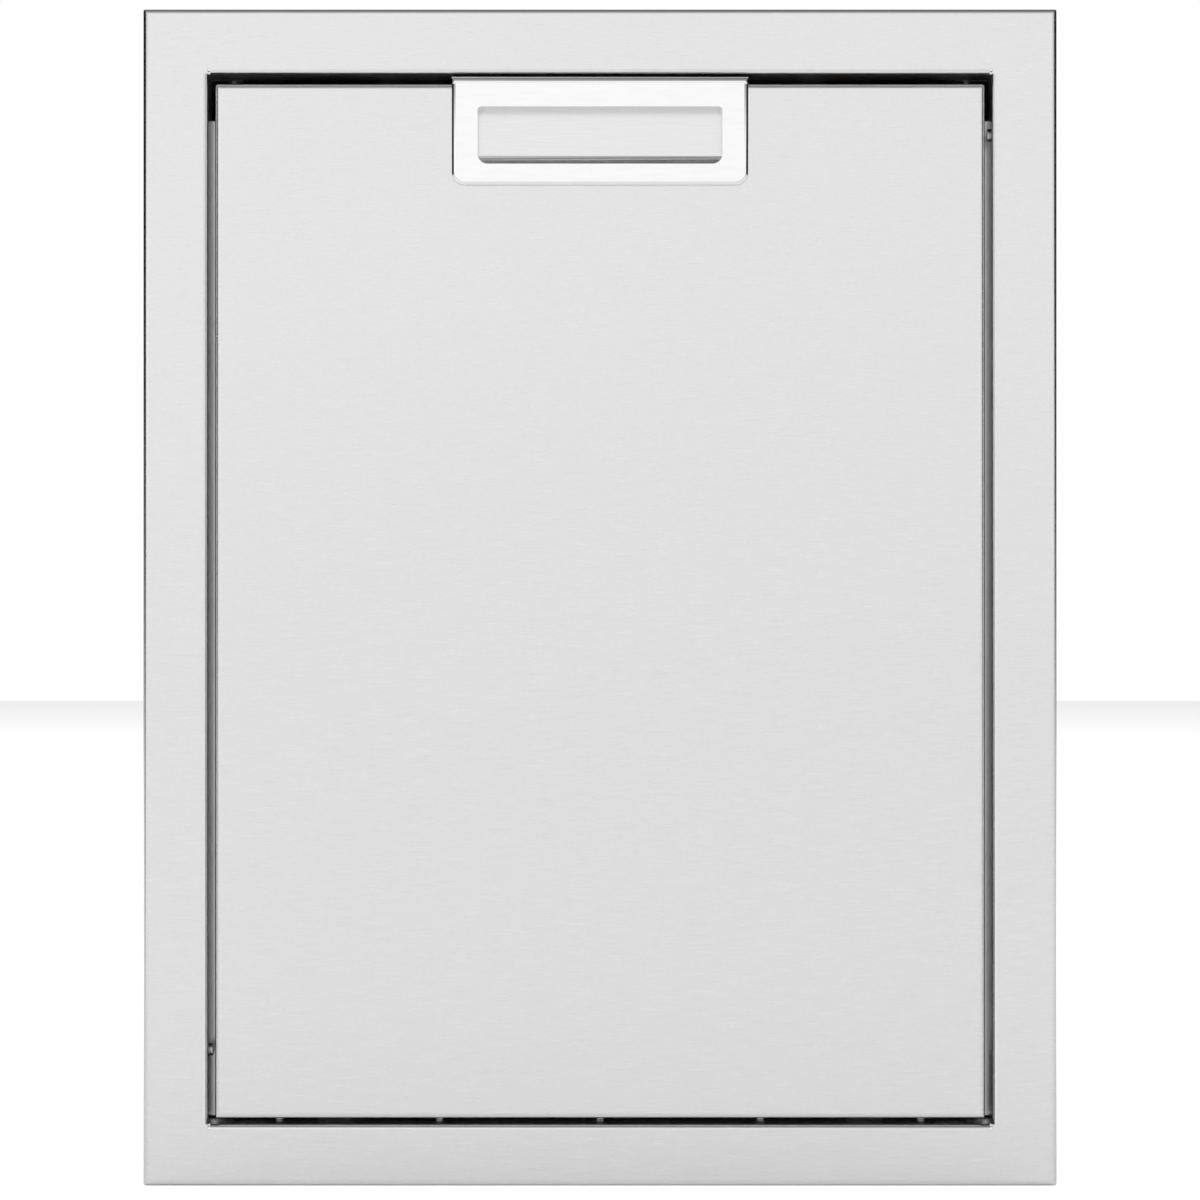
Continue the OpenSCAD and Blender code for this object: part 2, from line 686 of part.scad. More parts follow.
module handle_plate() color([0.93, 0.93, 0.94]) {
    y0 = front_y0 - handle_proud;
    z1 = front_z1 + handle_rise;
    hook_y = 4;
    crease = 0.3;
    difference() {
        union() {
            rolled_plate(y0);
            // hooked over the top edge of the front
            intersection() {
                along_x(-handle_w / 2, handle_w / 2)
                    round_rect([y0, front_z1], [hook_y, z1], [0, 0, 1.5, handle_rise - 0.2]);
                along_z(front_z1, z1)
                    round_rect([-handle_w / 2, y0], [handle_w / 2, hook_y], [handle_roll, handle_roll, 3, 3]);
            }
        }
        along_y(y0 - 1, front_y0 + 1) mouth(0);
        // the crease where the hook is folded back
        box([-handle_w / 2 - 1, y0 - 1, front_z1 - crease],
            [handle_w / 2 + 1, y0 + 2 * crease, front_z1 + crease]);
        // clears the front's rolled top edge
        along_x(-handle_w / 2 - 1, handle_w / 2 + 1)
            round_rect([front_y0, front_z1 - 6], [hook_y + 1, front_z1], [0, 0, 0, front_top_r]);
    }
    both_sides() for (z = stud_z) rod_y([stud_x, front_y0 - handle_proud / 2, z], stud_r, 8);
}

// The pocket's ceiling climbs to the back, once it is through the front.
module climb(half_w, y_back, z) along_x(-half_w, half_w)
    polygon([[climb_y0, z - 1], [y_back, z - 1], [y_back, z + pocket_rise], [climb_y0, z]]);

module handle_pocket() color(steel) {
    // a cup that closes behind the plate
    y1 = front_y0 + pocket_depth;
    difference() {
        union() {
            along_x(-pocket_w / 2 - pocket_t, pocket_w / 2 + pocket_t)
                round_rect([front_y0, mouth_z0 - pocket_t], [y1 + pocket_t, mouth_z1 + pocket_t],
                           [0, pocket_fillet + pocket_t, 0, 0]);
            climb(pocket_w / 2 + pocket_t, y1 + pocket_t, mouth_z1 + pocket_t);
        }
        intersection() {
            along_x(-pocket_w / 2, pocket_w / 2)
                round_rect([front_y0 - 1, mouth_z0], [y1, mouth_z1], [0, pocket_fillet, 0, 0]);
            along_y(front_y0 - 2, y1 + 1) mouth(0);
        }
        climb(pocket_w / 2 - mouth_r, y1, mouth_z1);
    }
}

module handle_nuts() color(zinc) both_sides()
    for (z = stud_z)
        translate([stud_x, front_y0 + front_sheet, z]) rotate([-90, 0, 0]) difference() {
            cylinder(h = 2.6, r = 3.2, $fn = 6);
            translate([0, 0, -1]) cylinder(h = 5, r = stud_r);
        }

module strike_plates() color(steel) both_sides()
    box([landing_x0, front_y1, magnet_z - 3], [landing_x1, front_y1 + strike_t, magnet_z + 43]);

module control_module() color(dark) difference() {
    box([control_x - control_w / 2, control_y - control_half, control_z0],
        [control_x + control_w / 2, control_y + control_half, control_top]);
    translate([button_x, control_y, control_z0 + 16]) cylinder(h = 40, r = button_r + run);
    translate([lock_x, control_y, control_z0 + 8]) cylinder(h = 40, r = lock_r + run);
    translate([lens_x, control_y, control_top - 6]) cylinder(h = 40, r = lens_r);
}

module status_lens() color([0.2, 0.75, 0.35])
    translate([lens_x, control_y, control_top - 6]) cylinder(h = 6 + front_sheet - cap_drop, r = lens_r);

module start_button() color([0.75, 0.13, 0.1]) {
    top = front_z1 - cap_drop;
    foot = control_z0 + 16 + press_depth + 1;
    translate([button_x, control_y, foot]) cylinder(h = top - foot, r = button_r);
}

module lock_barrel() color(steel) {
    top = front_z1 - cap_drop;
    foot = control_z0 + 8;
    translate([lock_x, control_y, 0]) difference() {
        translate([0, 0, foot]) cylinder(h = top - foot, r = lock_r);
        box([-0.8, -3.6, top - 5], [0.8, 3.6, top + 1]);
    }
}

// ---------------------------------------------------------------- carriage and bin

module carriage_side() color(zinc) difference() {
    union() {
        along_x(carriage_in, carriage_x)
            polygon([[front_y1, carriage_z0], [carriage_y1, carriage_z0], [carriage_y1, carriage_z1],
                     [gusset_y, carriage_z1], [front_y1 + 20, gusset_z], [front_y1, gusset_z]]);
        box([carriage_in - tab_w, front_y1, carriage_z0],
            [carriage_in + eps, front_y1 + carriage_t, gusset_z]);
    }
    tab_screw_holes(2.2);
}

module carriage_floor() color(zinc)
    box([-carriage_in, front_y1 + carriage_t, floor_z0], [carriage_in, carriage_y1, floor_z1]);

module carriage_back() color(zinc)
    along_y(carriage_y1 - carriage_t, carriage_y1)
        round_rect([-carriage_in, floor_z1], [carriage_in, 100], [0, 0, 12, 12]);

module carriage_screws() color(zinc) both_sides()
    for (z = tab_screw_z)
        translate([carriage_in - tab_w / 2, front_y1 + carriage_t, z]) rotate([-90, 0, 0])
            pan_screw(2, 3.8, 2, carriage_t + front_sheet + 1.5);

// A rounded slab of the bin's outline, drawn in by a distance from the rim's edge.
module bin_slab(z, inset, h) {
    along_z(z, z + h)
        round_rect([-bin_w / 2 + inset, bin_y - bin_l / 2 + inset],
                   [bin_w / 2 - inset, bin_y + bin_l / 2 - inset],
                   [for (i = [0:3]) bin_r - bin_rim], $fn = 32);
}

module bin_taper_block(z, inset, top) hull() {
    bin_slab(z, inset + bin_taper, 0.5);
    bin_slab(top - 0.5, inset, 0.5);
}

module bin() color([0.2, 0.21, 0.22]) difference() {
    union() {
        bin_taper_block(bin_z0, bin_rim, bin_z1);
        along_z(bin_z1 - bin_wall, bin_z1) rim_outline(0);
        difference() {
            along_z(bin_z1 - 14, bin_z1) rim_outline(0);
            along_z(bin_z1 - 15, bin_z1 + 1) rim_outline(bin_wall);
        }
    }
    bin_taper_block(bin_z0 + bin_wall, bin_rim + bin_wall, bin_z1 + 1);
}

// The frame that clamps the bag's edge on the rim.
module rim_outline(inset)
    round_rect([-bin_w / 2 + inset, bin_y - bin_l / 2 + inset],
               [bin_w / 2 - inset, bin_y + bin_l / 2 - inset], [for (i = [0:3]) bin_r - inset]);

module bag_ring() color(steel) difference() {
    along_z(bin_z1, bin_z1 + ring_t) rim_outline(0);
    along_z(bin_z1 - 1, bin_z1 + ring_t + 1) rim_outline(ring_w);
}

// ---------------------------------------------------------------- slides

// A channel with its web towards the wall, or towards the drawer, drawn in (distance from the
// side plate, height) and run along Y.
module channel(web_u, lip_u, half_h) {
    lo = min(web_u, lip_u);
    hi = max(web_u, lip_u) + (lip_u < web_u ? slide_sheet : 0);
    translate([plate_in, 0, slide_z]) mirror([1, 0, 0]) along_y(slide_y0, slide_y0 + slide_len)
        difference() {
            translate([lo, -half_h]) square([hi - lo, 2 * half_h]);
            translate([web_u < lip_u ? web_u + slide_sheet : lo - 1, -half_h + slide_sheet])
                square([hi - lo - slide_sheet + 1, 2 * (half_h - slide_sheet)]);
        }
}

outer_half = slide_h / 2;
mid_half = outer_half - slide_sheet - ball_d - run;
inner_half = mid_half - slide_sheet - ball_d - run;
race_u = 7.2;                           // the balls' distance from the side plate

module slide_outer() color(zinc) channel(0, 10, outer_half);
module slide_mid() color(zinc) channel(2, 10.4, mid_half);
module slide_inner() color(zinc) channel(slide_w - slide_sheet, 4.4, inner_half);

// Ball strips above and below, with their balls, at one race of both slides.
module ball_cage(half_h) color([0.75, 0.6, 0.25]) both_sides() {
    race = half_h - slide_sheet - (ball_d + run) / 2;
    for (side = [-1, 1]) {
        at = [plate_in - race_u, 0, slide_z + side * race];
        step = cage_len / cage_balls;
        difference() {
            translate(at) box([-2.5, cage_y0, -cage_t / 2], [2.5, cage_y0 + cage_len, cage_t / 2]);
            for (i = [0:cage_balls - 1])
                translate(at + [0, cage_y0 + (i + 0.5) * step, -1])
                    cylinder(h = 2, r = ball_d / 2 + 0.1, $fn = 16);
        }
        for (i = [0:cage_balls - 1])
            translate(at + [0, cage_y0 + (i + 0.5) * step, 0]) sphere(ball_d / 2, $fn = 16);
    }
}

module ball_cage_outer() ball_cage(outer_half);
module ball_cage_inner() ball_cage(mid_half);

// ---------------------------------------------------------------- ram and drive

module ram_outline(inset)
    round_rect([-ram_w / 2 + inset, bin_y - ram_l / 2 + inset],
               [ram_w / 2 - inset, bin_y + ram_l / 2 - inset],
               [for (i = [0:3]) ram_r - inset]);

module ram_box() color(zinc) difference() {
    along_z(ram_z0 + face_t, ram_top_z0) ram_outline(0);
    along_z(ram_z0, ram_top_z0 + 1) ram_outline(ram_wall);
}

// The pressing face, with ribs that bite into the rubbish.
module ram_face() color(zinc) {
    along_z(ram_z0, ram_z0 + face_t) ram_outline(0);
    for (i = [-3:3])
        box([-ram_w / 2 + 25, bin_y + i * 40 - 4, ram_z0 - 2],
            [ram_w / 2 - 25, bin_y + i * 40 + 4, ram_z0 + eps]);
}

module ram_top() color(zinc) difference() {
    along_z(ram_top_z0, ram_top_z1) ram_outline(0);
    translate([0, bin_y, ram_top_z0 - 1]) cylinder(h = ram_top_t + 2, r = nut_r + 0.1);
    for (x = [-rod_x, rod_x])
        translate([x, bin_y, ram_top_z0 - 1]) cylinder(h = ram_top_t + 2, r = bush_r + 0.1);
}

module ram_nut() color([0.78, 0.58, 0.25]) translate([0, bin_y, 0]) difference() {
    union() {
        translate([0, 0, ram_top_z1 + nut_flange_h - nut_h]) cylinder(h = nut_h, r = nut_r);
        translate([0, 0, ram_top_z1]) cylinder(h = nut_flange_h, r = nut_flange_r);
    }
    translate([0, 0, ram_top_z1 - nut_h]) cylinder(h = 2 * nut_h, r = screw_d / 2 + run);
}

module guide_bushes() color([0.78, 0.58, 0.25])
    for (x = [-rod_x, rod_x]) translate([x, bin_y, ram_top_z1 + 4 - bush_len]) difference() {
        union() {
            cylinder(h = bush_len, r = bush_r);
            translate([0, 0, bush_len - 4]) cylinder(h = 4, r = bush_r + 4);
        }
        translate([0, 0, -1]) cylinder(h = bush_len + 2, r = rod_d / 2 + run);
    }

module power_screw() color(steel) translate([0, bin_y, 0]) {
    translate([0, 0, screw_z0]) cylinder(h = collar_z0 - screw_z0 + eps, r = screw_d / 2);
    translate([0, 0, collar_z0]) cylinder(h = 4, r = screw_d / 2 + 6);
    translate([0, 0, collar_z0 + 4 - eps])
        cylinder(h = gear_z0 + gear_face + 5 - collar_z0 - 4, r = journal_r);
}

// Outline of an involute gear. Each tooth is a root corner, three points up each flank, and back down.
function involute(a) = tan(a) * 180 / PI - a;
function flank_angle(r, base, half) = half + involute(pressure_angle) - involute(acos(min(1, base / r)));
function polar(r, a) = [r * cos(a), r * sin(a)];
function gear_outline(teeth) =
    let (pitch = gear_m * teeth / 2,
         base = pitch * cos(pressure_angle),
         root = pitch - 1.25 * gear_m,
         tip = pitch + gear_m,
         start = max(root, base),
         half = 90 / teeth - backlash / pitch * 180 / PI,
         flank = [for (k = [0:2]) let (r = start + (tip - start) * k / 2) [r, flank_angle(r, base, half)]],
         foot = flank[0][1])
    [for (i = [0:teeth - 1]) let (a = 360 / teeth * i)
        each concat(start > root ? [polar(root, a - foot)] : [],
                    [for (k = [0:2]) polar(flank[k][0], a - flank[k][1])],
                    [for (k = [2:-1:0]) polar(flank[k][0], a + flank[k][1])],
                    start > root ? [polar(root, a + foot)] : [])];

// One gear blank with a ring of lightening holes.
module gear(teeth, holes) {
    difference() {
        linear_extrude(gear_face) polygon(gear_outline(teeth));
        for (i = [0:holes - 1])
            rotate(i * 360 / holes) translate([gear_m * teeth / 4 + 6, 0, -1])
                cylinder(h = gear_face + 2, r = gear_m * teeth / 9);
    }
}

module screw_gear() color(steel) translate([0, bin_y, gear_z0]) difference() {
    union() {
        gear(screw_teeth, 6);
        hex([0, 0, gear_face], 17, 4.5);
    }
    translate([0, 0, -1]) cylinder(h = gear_face + 10, r = journal_r);
}

// The pinion is turned so that its gap meets a tooth of the screw gear.
module compound_gear() color(steel) translate([0, idler_y, gear_z0]) difference() {
    union() {
        rotate(mesh_turn) gear(pinion_teeth, 0);
        cylinder(h = wheel_z0 - gear_z0, r = idler_r + 5);
        translate([0, 0, wheel_z0 - gear_z0]) gear(wheel_teeth, 6);
    }
    translate([0, 0, -1]) cylinder(h = wheel_z0 - gear_z0 + gear_face + 2, r = idler_r + run);
}

module motor_pinion() color(steel) translate([0, motor_y, 0]) {
    foot = drive_z0 - motor_flange_t - 19;
    translate([0, 0, foot]) cylinder(h = wheel_z0 + gear_face - foot, r = motor_shaft_r);
    translate([0, 0, wheel_z0]) rotate(pinion_turn) gear(pinion_teeth, 0);
}

// A gear has a tooth on the line of centres when its count divides that way; each pinion is
// turned until one of its gaps, or teeth, answers the gear it meets.
function phase_at(teeth, a) = (a * teeth / 360) % 1;
mesh_turn = (0.5 + phase_at(pinion_teeth, 270) + phase_at(screw_teeth, 90)) * 360 / pinion_teeth;
pinion_turn = (0.5 + phase_at(pinion_teeth, 270) + phase_at(wheel_teeth, 90)) * 360 / pinion_teeth;

// ---------------------------------------------------------------- assembly

face_frame();
wall_gasket();
collar_screws();
mirror([1, 0, 0]) side_panel(-1);  // side_panel_left
side_panel(1);  // side_panel_right
top_panel();
base_pan();
rear_panel();
casing_rivets();
mirror([1, 0, 0]) side_plate();  // side_plate_left
side_plate();  // side_plate_right
door_bumpers();
catch_magnets();
load_rails();
mirror([1, 0, 0]) slide_outer();  // slide_outer_left
slide_outer();  // slide_outer_right
drive_plate();
drive_bolts();
guide_rods();
rod_nuts();
thrust_bearing();
idler_shaft();
motor_body();
motor_bolts();
limit_switch();
control_box();
power_inlet();
motor_cable();
front_panel();
front_liner();
handle_plate();
handle_pocket();
handle_nuts();
strike_plates();
control_module();
status_lens();
mirror([1, 0, 0]) carriage_side();  // carriage_side_left
carriage_side();  // carriage_side_right
carriage_floor();
carriage_back();
carriage_screws();
mirror([1, 0, 0]) slide_inner();  // slide_inner_left
slide_inner();  // slide_inner_right
bin();
bag_ring();
start_button();
lock_barrel();
mirror([1, 0, 0]) slide_mid();  // slide_mid_left
slide_mid();  // slide_mid_right
ball_cage_outer();
ball_cage_inner();
ram_box();
ram_face();
ram_top();
ram_nut();
guide_bushes();
power_screw();
screw_gear();
compound_gear();
motor_pinion();
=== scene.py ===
"""Looks of the built-in trash compactor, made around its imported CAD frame. Metres."""
import json
import math

import bmesh
import bpy
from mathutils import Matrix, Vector


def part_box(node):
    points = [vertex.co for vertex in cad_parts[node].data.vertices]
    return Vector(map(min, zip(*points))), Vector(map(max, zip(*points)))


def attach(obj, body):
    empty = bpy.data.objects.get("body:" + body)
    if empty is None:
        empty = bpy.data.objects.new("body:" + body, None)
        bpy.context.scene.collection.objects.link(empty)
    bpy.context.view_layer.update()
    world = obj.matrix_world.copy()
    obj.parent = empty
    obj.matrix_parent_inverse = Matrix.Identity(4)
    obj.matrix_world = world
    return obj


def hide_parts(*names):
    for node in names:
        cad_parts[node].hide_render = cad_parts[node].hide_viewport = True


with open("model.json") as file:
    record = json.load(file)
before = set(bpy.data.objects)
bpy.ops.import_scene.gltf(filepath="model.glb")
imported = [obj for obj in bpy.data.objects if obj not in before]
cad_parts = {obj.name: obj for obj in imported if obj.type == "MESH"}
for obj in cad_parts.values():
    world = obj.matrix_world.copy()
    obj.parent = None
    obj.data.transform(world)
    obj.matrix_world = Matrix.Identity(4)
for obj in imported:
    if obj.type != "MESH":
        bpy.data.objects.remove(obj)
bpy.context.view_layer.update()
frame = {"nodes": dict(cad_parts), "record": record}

scene = bpy.context.scene

# ---------------------------------------------------------------- camera and studio

FLANGE_LOW, FLANGE_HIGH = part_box("face_frame")
FLANGE_SHARE = 0.7617        # the flange's share of the picture's width
CAMERA_DISTANCE = 2.5        # from the flange's face
CAMERA_DROP = 0.0015         # below the middle of the flange
SENSOR = 36.0                # mm

# Brightness of the room
ROOM_AHEAD = 1.03
ROOM_BEHIND = 0.62
ROOM_ABOVE = 0.3
FLAG_LEVEL = 0.005
FLOOR_TONE = 0.84
FLOOR_GLOW = 0.6             # lifts the floor to white in the picture, and not in reflections


def make_camera():
    """A long lens, square on to the middle of the flange."""
    data = bpy.data.cameras.new("camera")
    camera = bpy.data.objects.new("camera", data)
    scene.collection.objects.link(camera)
    middle = (FLANGE_LOW + FLANGE_HIGH) / 2
    view_width = (FLANGE_HIGH.x - FLANGE_LOW.x) / FLANGE_SHARE
    data.sensor_width = SENSOR
    data.lens = SENSOR * CAMERA_DISTANCE / view_width
    data.clip_end = 50
    camera.location = (middle.x, FLANGE_LOW.y - CAMERA_DISTANCE, middle.z - CAMERA_DROP)
    camera.rotation_euler = (math.radians(90), 0, 0)
    scene.camera = camera


def make_world():
    """A white room: brightest in front of the object, and a little brighter to the left, with a
    dark flag at each side that draws the object's upright edges."""
    world = bpy.data.worlds.new("studio")
    scene.world = world
    world.use_nodes = True
    tree = world.node_tree
    tree.nodes.clear()
    put = tree.nodes.new
    join = tree.links.new
    direction = put("ShaderNodeTexCoord")
    parts = put("ShaderNodeSeparateXYZ")
    join(direction.outputs["Generated"], parts.inputs[0])

    def level(source, start, end, low, high):
        """A smooth change from low to high while a value goes from start to end."""
        node = put("ShaderNodeMapRange")
        node.interpolation_type = "SMOOTHSTEP"
        for socket, value in (("From Min", start), ("From Max", end), ("To Min", low), ("To Max", high)):
            node.inputs[socket].default_value = value
        join(source, node.inputs["Value"])
        return node.outputs[0]

    def combine(operation, *values):
        """A math node fed by sockets and plain numbers."""
        node = put("ShaderNodeMath")
        node.operation = operation
        for i, value in enumerate(values):
            if isinstance(value, float):
                node.inputs[i].default_value = value
            else:
                join(value, node.inputs[i])
        return node.outputs[0]

    x, y, z = parts.outputs
    ahead = level(y, 0.0, -0.75, ROOM_BEHIND, ROOM_AHEAD)
    leftward = level(x, -0.9, 0.9, 1.08, 0.9)
    overhead = level(z, 0.2, 0.65, 1.0, ROOM_ABOVE)
    sideways = combine("MULTIPLY_ADD", y, 0.5, combine("ABSOLUTE", x))
    sideways = combine("MULTIPLY_ADD", combine("ABSOLUTE", z), -0.3, sideways)
    flags = level(sideways, 0.28, 0.5, 1.0, FLAG_LEVEL)
    strength = combine("MULTIPLY", combine("MULTIPLY", ahead, leftward), combine("MULTIPLY", overhead, flags))

    seen = put("ShaderNodeBackground")
    seen.inputs["Color"].default_value = (1, 1, 1, 1)
    room = put("ShaderNodeBackground")
    room.inputs["Color"].default_value = (1, 1, 1, 1)
    join(strength, room.inputs["Strength"])
    ray = put("ShaderNodeLightPath")
    mix = put("ShaderNodeMixShader")
    join(ray.outputs["Is Camera Ray"], mix.inputs[0])
    join(room.outputs[0], mix.inputs[1])
    join(seen.outputs[0], mix.inputs[2])
    out = put("ShaderNodeOutputWorld")
    join(mix.outputs[0], out.inputs["Surface"])


def make_softbox(name, place, aim, width, height, power):
    """A square soft light at a place, turned to face a point."""
    data = bpy.data.lights.new(name, "AREA")
    data.shape = "RECTANGLE"
    data.size = width
    data.size_y = height
    data.energy = power
    light = bpy.data.objects.new(name, data)
    scene.collection.objects.link(light)
    light.location = place
    light.rotation_euler = (Vector(aim) - Vector(place)).to_track_quat("-Z", "Y").to_euler()
    light.visible_camera = False
    light.visible_glossy = False


def make_floor():
    """A pale floor just under the flange's lower edge."""
    half = 12.0
    z = FLANGE_LOW.z - 0.0005
    mesh = bpy.data.meshes.new("floor")
    mesh.from_pydata([(-half, -half, z), (half, -half, z), (half, half, z), (-half, half, z)], [], [(0, 1, 2, 3)])
    floor = bpy.data.objects.new("floor", mesh)
    scene.collection.objects.link(floor)
    material = bpy.data.materials.new("floor_paint")
    material.use_nodes = True
    tree = material.node_tree
    shader = tree.nodes["Principled BSDF"]
    shader.inputs["Base Color"].default_value = (FLOOR_TONE, FLOOR_TONE, FLOOR_TONE, 1)
    shader.inputs["Roughness"].default_value = 0.9
    shader.inputs["Emission Color"].default_value = (1, 1, 1, 1)
    ray = tree.nodes.new("ShaderNodeLightPath")
    glow = tree.nodes.new("ShaderNodeMath")
    glow.operation = "MULTIPLY"
    glow.inputs[1].default_value = FLOOR_GLOW
    tree.links.new(ray.outputs["Is Camera Ray"], glow.inputs[0])
    tree.links.new(glow.outputs[0], shader.inputs["Emission Strength"])
    mesh.materials.append(material)


def make_studio():
    make_camera()
    make_world()
    make_floor()
    make_softbox("overhead", (0, -1.0, 6.0), (0, -1.0, 0), 16.0, 16.0, 880)
    make_softbox("key", (-2.6, -2.6, 2.2), (0, 0, 0.3), 1.8, 1.8, 20)
    scene.view_settings.view_transform = "Standard"


# ---------------------------------------------------------------- materials

class Paint:
    """A material under construction: its Principled shader, and the nodes that feed it."""

    def __init__(self, name, color, metallic=0.0, roughness=0.5, **sockets):
        self.material = bpy.data.materials.new(name)
        self.material.use_nodes = True
        self.tree = self.material.node_tree
        self.shader = self.tree.nodes["Principled BSDF"]
        self.set("Base Color", (*color, 1))
        self.set("Metallic", metallic)
        self.set("Roughness", roughness)
        for socket, value in sockets.items():
            self.set(socket.replace("_", " "), value)

    def set(self, socket, value):
        self.shader.inputs[socket].default_value = value

    def put(self, kind, **settings):
        node = self.tree.nodes.new(kind)
        for key, value in settings.items():
            setattr(node, key, value)
        return node

    def join(self, source, target):
        self.tree.links.new(source, target)

    def place(self, scale):
        """The point in the part's own frame, with each axis scaled."""
        point = self.put("ShaderNodeTexCoord")
        mapping = self.put("ShaderNodeMapping")
        mapping.inputs["Scale"].default_value = scale
        self.join(point.outputs["Object"], mapping.inputs["Vector"])
        return mapping.outputs["Vector"]

    def noise(self, scale, detail=2.0, rough=0.5, distortion=0.0):
        """Noise from 0 to 1, with its own scale along each axis, in waves per metre."""
        node = self.put("ShaderNodeTexNoise")
        node.inputs["Scale"].default_value = 1.0
        node.inputs["Detail"].default_value = detail
        node.inputs["Roughness"].default_value = rough
        node.inputs["Distortion"].default_value = distortion
        self.join(self.place(scale), node.inputs["Vector"])
        return node.outputs["Fac"]

    def cells(self, scale):
        """A random value for each cell of a crystal pattern."""
        node = self.put("ShaderNodeTexVoronoi")
        node.inputs["Scale"].default_value = 1.0
        self.join(self.place((scale, scale, scale)), node.inputs["Vector"])
        split = self.put("ShaderNodeSeparateColor")
        self.join(node.outputs["Color"], split.inputs[0])
        return split.outputs[0]

    def spread(self, source, low, high, start=0.3, end=0.7):
        """Maps a value between start and end to low to high."""
        node = self.put("ShaderNodeMapRange")
        for socket, value in (("From Min", start), ("From Max", end), ("To Min", low), ("To Max", high)):
            node.inputs[socket].default_value = value
        self.join(source, node.inputs["Value"])
        return node.outputs[0]

    def tint(self, source, dark, light):
        """Colours a value from 0.3 to 0.7 between two colours."""
        ramp = self.put("ShaderNodeValToRGB")
        ramp.color_ramp.elements[0].position = 0.3
        ramp.color_ramp.elements[0].color = (*dark, 1)
        ramp.color_ramp.elements[1].position = 0.7
        ramp.color_ramp.elements[1].color = (*light, 1)
        self.join(source, ramp.inputs[0])
        self.join(ramp.outputs[0], self.shader.inputs["Base Color"])

    def rough(self, source, low, high):
        self.join(self.spread(source, low, high), self.shader.inputs["Roughness"])

    def bump(self, source, height, strength=1.0):
        """Raises the surface by up to a height in metres."""
        node = self.put("ShaderNodeBump")
        node.inputs["Distance"].default_value = height
        node.inputs["Strength"].default_value = strength
        self.join(source, node.inputs["Height"])
        self.join(node.outputs[0], self.shader.inputs["Normal"])

    def grain_along(self, axis):
        """Stretches highlights across a grain that runs along an axis of the part's frame."""
        vector = self.put("ShaderNodeCombineXYZ")
        for i in range(3):
            vector.inputs[i].default_value = axis[i]
        turn = self.put("ShaderNodeVectorTransform", vector_type="VECTOR", convert_from="OBJECT", convert_to="WORLD")
        self.join(vector.outputs[0], turn.inputs[0])
        self.join(turn.outputs[0], self.shader.inputs["Tangent"])


def grey(value, tone=0.0):
    return (value + tone, value, value - tone)


def brushed_steel(name, level, roughness=0.30):
    """Stainless sheet with a fine grain that runs across the width."""
    paint = Paint(name, grey(level), 1.0, roughness, Anisotropic=0.55, Anisotropic_Rotation=0.25)
    streaks = paint.noise((45, 2600, 2600), detail=3.0, rough=0.65)
    paint.tint(streaks, grey(level - 0.035), grey(level + 0.03))
    paint.rough(streaks, roughness - 0.05, roughness + 0.06)
    paint.bump(streaks, 0.000006)
    paint.grain_along((1, 0, 0))
    return paint.material


def polished_steel(name):
    """Mirror-polished stainless, with the faintest haze of buffing."""
    paint = Paint(name, grey(0.93), 1.0, 0.06)
    haze = paint.noise((60, 300, 300), detail=3.0)
    paint.rough(haze, 0.04, 0.09)
    paint.tint(haze, grey(0.915), grey(0.945))
    return paint.material


def zinc_sheet(name, level=0.7):
    """Galvanised sheet: a mosaic of pale crystals, each a little lighter or duller."""
    paint = Paint(name, grey(level, -0.004), 0.95, 0.3)
    spangle = paint.cells(95)
    paint.tint(spangle, grey(level - 0.03, -0.004), grey(level + 0.03, -0.004))
    paint.rough(spangle, 0.29, 0.34)
    paint.bump(paint.noise((500, 500, 500), detail=2.0), 0.00001)
    return paint.material


def machined_steel(name, level=0.6, roughness=0.26):
    """Turned or ground steel, with fine tool marks round the upright axis."""
    paint = Paint(name, grey(level), 1.0, roughness)
    marks = paint.noise((350, 350, 4500), detail=2.0)
    paint.tint(marks, grey(level - 0.07), grey(level + 0.05))
    paint.rough(marks, roughness - 0.05, roughness + 0.08)
    paint.bump(marks, 0.000008)
    return paint.material


def gear_steel(name):
    """Oiled gear steel, darker, with a patchy film."""
    paint = Paint(name, (0.33, 0.32, 0.31), 1.0, 0.3, Coat_Weight=0.25)
    film = paint.noise((70, 70, 200), detail=4.0)
    paint.tint(film, (0.26, 0.25, 0.24), (0.4, 0.39, 0.38))
    paint.rough(film, 0.22, 0.42)
    paint.bump(paint.noise((1800, 1800, 300), detail=2.0), 0.000006)
    return paint.material


def bronze(name):
    paint = Paint(name, (0.72, 0.47, 0.2), 1.0, 0.3)
    marks = paint.noise((300, 300, 3500), detail=2.0)
    paint.tint(marks, (0.62, 0.39, 0.15), (0.78, 0.54, 0.26))
    paint.rough(marks, 0.24, 0.38)
    return paint.material


def moulding(name, color, lift, roughness=0.5, grain=1400):
    """Injection-moulded plastic with a fine spark-eroded grain."""
    paint = Paint(name, color, 0.0, roughness)
    speckle = paint.noise((grain, grain, grain), detail=2.0)
    paint.tint(paint.noise((9, 9, 9), detail=3.0), color, tuple(c + lift for c in color))
    paint.rough(speckle, roughness - 0.06, roughness + 0.08)
    paint.bump(speckle, 0.00002)
    return paint.material


def rubber(name, color=(0.018, 0.018, 0.018), grain=900):
    paint = Paint(name, color, 0.0, 0.75)
    pores = paint.noise((grain, grain, grain), detail=3.0, rough=0.7)
    paint.tint(pores, color, tuple(c + 0.02 for c in color))
    paint.rough(pores, 0.68, 0.85)
    paint.bump(pores, 0.00005)
    return paint.material


def enamel(name, color):
    """Sprayed enamel with a little orange peel."""
    paint = Paint(name, color, 0.0, 0.35, Coat_Weight=0.3)
    peel = paint.noise((260, 260, 260), detail=2.0)
    paint.tint(paint.noise((30, 30, 30), detail=4.0), color, tuple(c * 1.35 for c in color))
    paint.rough(peel, 0.3, 0.42)
    paint.bump(peel, 0.00003)
    return paint.material


